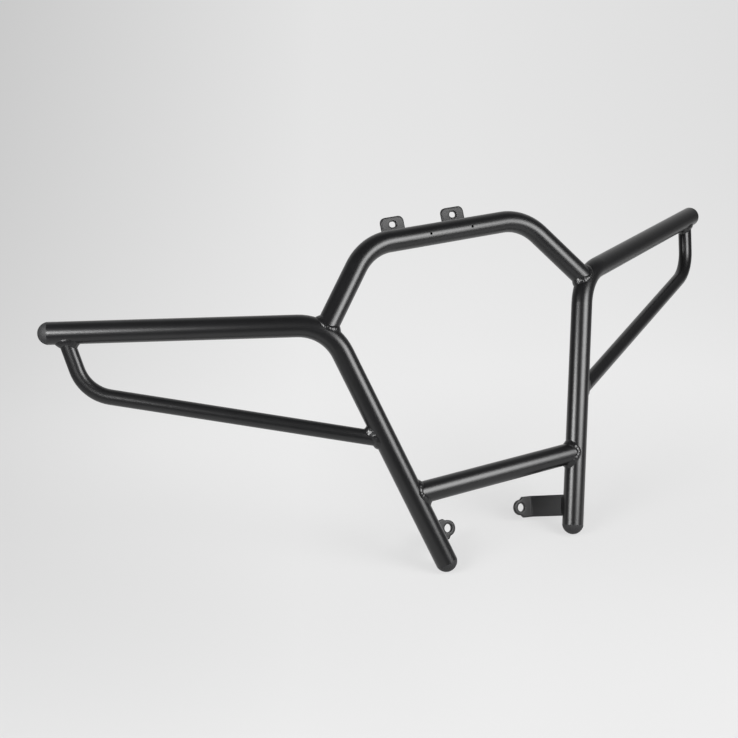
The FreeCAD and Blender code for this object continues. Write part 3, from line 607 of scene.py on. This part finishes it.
# Room: a pale cove behind and to the right, dim towards the lamps' side; the camera sees it as the far floor
COVE_WAY = (0.423, 0.906, 0.0)
COVE_START = 0.2
COVE_END = 1.0
COVE_LEVEL = 0.72
ROOM_LEVEL = 0.09
HORIZON_GLOW = 0.775
world = bpy.data.worlds.new("studio")
bpy.context.scene.world = world
world.use_nodes = True
tree = world.node_tree
tree.nodes.clear()
direction = add(tree, "ShaderNodeTexCoord").outputs["Generated"]
facing = add(tree, "ShaderNodeVectorMath", {0: direction, 1: COVE_WAY},
             operation="DOT_PRODUCT").outputs["Value"]
cove = add(tree, "ShaderNodeMapRange", {"Value": facing, "From Min": COVE_START, "From Max": COVE_END,
                                        "To Min": ROOM_LEVEL, "To Max": COVE_LEVEL},
           interpolation_type="SMOOTHSTEP").outputs["Result"]
seen = add(tree, "ShaderNodeLightPath").outputs["Is Camera Ray"]
backdrop = add(tree, "ShaderNodeMix", {0: seen, 2: cove, 3: HORIZON_GLOW}, data_type="FLOAT").outputs[0]
air = add(tree, "ShaderNodeBackground", {"Color": linear("#ffffff"), "Strength": backdrop})
add(tree, "ShaderNodeOutputWorld", {"Surface": air.outputs[0]})

# Soft lamps; four watts a square metre of cloth give a level of 1
WATTS_PER_LEVEL = 4.0
CLOTH_MIDDLE = (0.5, 0.5, 0.0)
PER_HALF_CLOTH = (2.0, 2.0, 0.0)
FRAME_MIDDLE = Vector((0.0, 0.05, 0.22))


def softbox(name, place, size, level, core):
    """Soft lamp aimed at the frame: its cloth has this level (1 is white) out to the core, a share of its
    half size, and falls off to nothing at the rim."""
    light = bpy.data.lights.new(name, "AREA")
    light.shape = "RECTANGLE"
    light.size, light.size_y = size
    light.energy = level * WATTS_PER_LEVEL * size[0] * size[1]
    light.use_nodes = True
    tree = light.node_tree
    tree.nodes.clear()
    cloth = add(tree, "ShaderNodeNewGeometry").outputs["Parametric"]
    middle = add(tree, "ShaderNodeVectorMath", {0: cloth, 1: CLOTH_MIDDLE},
                 operation="SUBTRACT").outputs["Vector"]
    flat = add(tree, "ShaderNodeVectorMath", {0: middle, 1: PER_HALF_CLOTH},
               operation="MULTIPLY").outputs["Vector"]
    out = add(tree, "ShaderNodeVectorMath", {0: flat}, operation="LENGTH").outputs["Value"]
    fall = add(tree, "ShaderNodeMapRange", {"Value": out, "From Min": core, "From Max": 1.0,
                                            "To Min": 1.0, "To Max": 0.0}, interpolation_type="SMOOTHSTEP")
    lit = add(tree, "ShaderNodeEmission", {"Color": linear("#ffffff"), "Strength": fall.outputs["Result"]})
    add(tree, "ShaderNodeOutputLight", {"Surface": lit.outputs["Emission"]})
    lamp = bpy.data.objects.new(name, light)
    bpy.context.scene.collection.objects.link(lamp)
    lamp.location = place
    lamp.rotation_euler = (FRAME_MIDDLE - Vector(place)).to_track_quat("-Z", "Y").to_euler()


softbox("front_softbox", place=(0.48, -1.02, 0.79), size=(1.40, 1.34), level=9.6, core=0.25)
softbox("left_softbox", place=(-1.20, -0.28, 0.76), size=(1.25, 0.58), level=18.5, core=0.35)

# Camera where the photograph was taken from, in metres, degrees and millimetres of lens
CAMERA_PLACE = (-1.09613, -1.59235, 1.04480)
CAMERA_LOOK = (67.43, 0.0, -29.37)
CAMERA_LENS = 69.934
CAMERA_SENSOR = 36.0
camera_data = bpy.data.cameras.new("camera")
camera_data.sensor_width = CAMERA_SENSOR
camera_data.sensor_fit = "HORIZONTAL"
camera_data.lens = CAMERA_LENS
camera = bpy.data.objects.new("camera", camera_data)
bpy.context.scene.collection.objects.link(camera)
camera.location = CAMERA_PLACE
camera.rotation_euler = Euler([math.radians(angle) for angle in CAMERA_LOOK])
bpy.context.scene.camera = camera
bpy.context.scene.view_settings.view_transform = "Standard"
